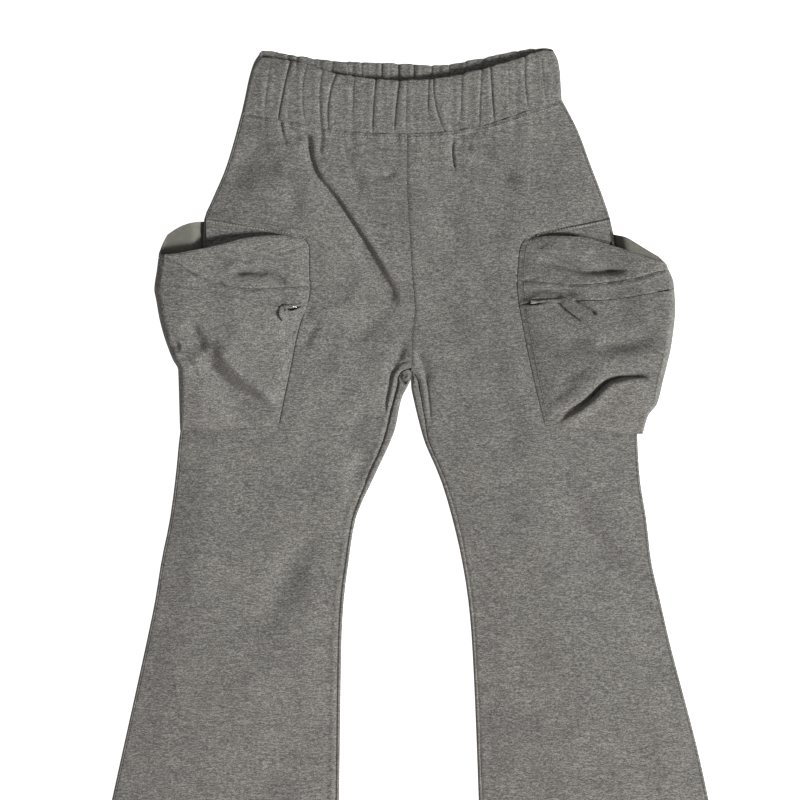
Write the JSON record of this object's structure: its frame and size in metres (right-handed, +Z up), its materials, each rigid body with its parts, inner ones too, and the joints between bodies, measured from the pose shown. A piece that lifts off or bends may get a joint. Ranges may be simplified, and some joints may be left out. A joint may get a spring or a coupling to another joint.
{
  "type": "flared sweatpants",
  "caption": "Heather grey flared sweatpants laid flat, with a gathered elastic waistband and a slouching zipped bag pocket folded round each side seam.",
  "frame": {"origin": "middle of the footprint, on the floor that the garment lies on", "axes": "+X across the garment to the right seen from above with the waist at the top, +Y along the legs towards the waist, +Z up out of the floor, through the back panels to the front"},
  "size_m": [0.772, 1.1004, 0.0342],
  "materials": {
    "heather_fleece": "matt brushed fleece knit in grey heather",
    "zip_tape": "matt woven tape with a moulded chain",
    "zip_metal": "bright nickel plate"
  },
  "bodies": {
    "root": {"waistband": "heather_fleece", "front_left": "heather_fleece", "front_right": "heather_fleece", "back_left": "heather_fleece", "back_right": "heather_fleece", "pocket_left_facing": "heather_fleece", "pocket_left_upper": "heather_fleece", "pocket_left_middle": "heather_fleece", "pocket_left_lower": "heather_fleece", "pocket_left_zip_pull": "heather_fleece", "pocket_right_facing": "heather_fleece", "pocket_right_upper": "heather_fleece", "pocket_right_middle": "heather_fleece", "pocket_right_lower": "heather_fleece", "pocket_right_zip_pull": "heather_fleece", "pocket_left_zip_tape": "zip_tape", "pocket_left_zip_slider": "zip_metal", "pocket_right_zip_tape": "zip_tape", "pocket_right_zip_slider": "zip_metal"}
  },
  "joints": []
}
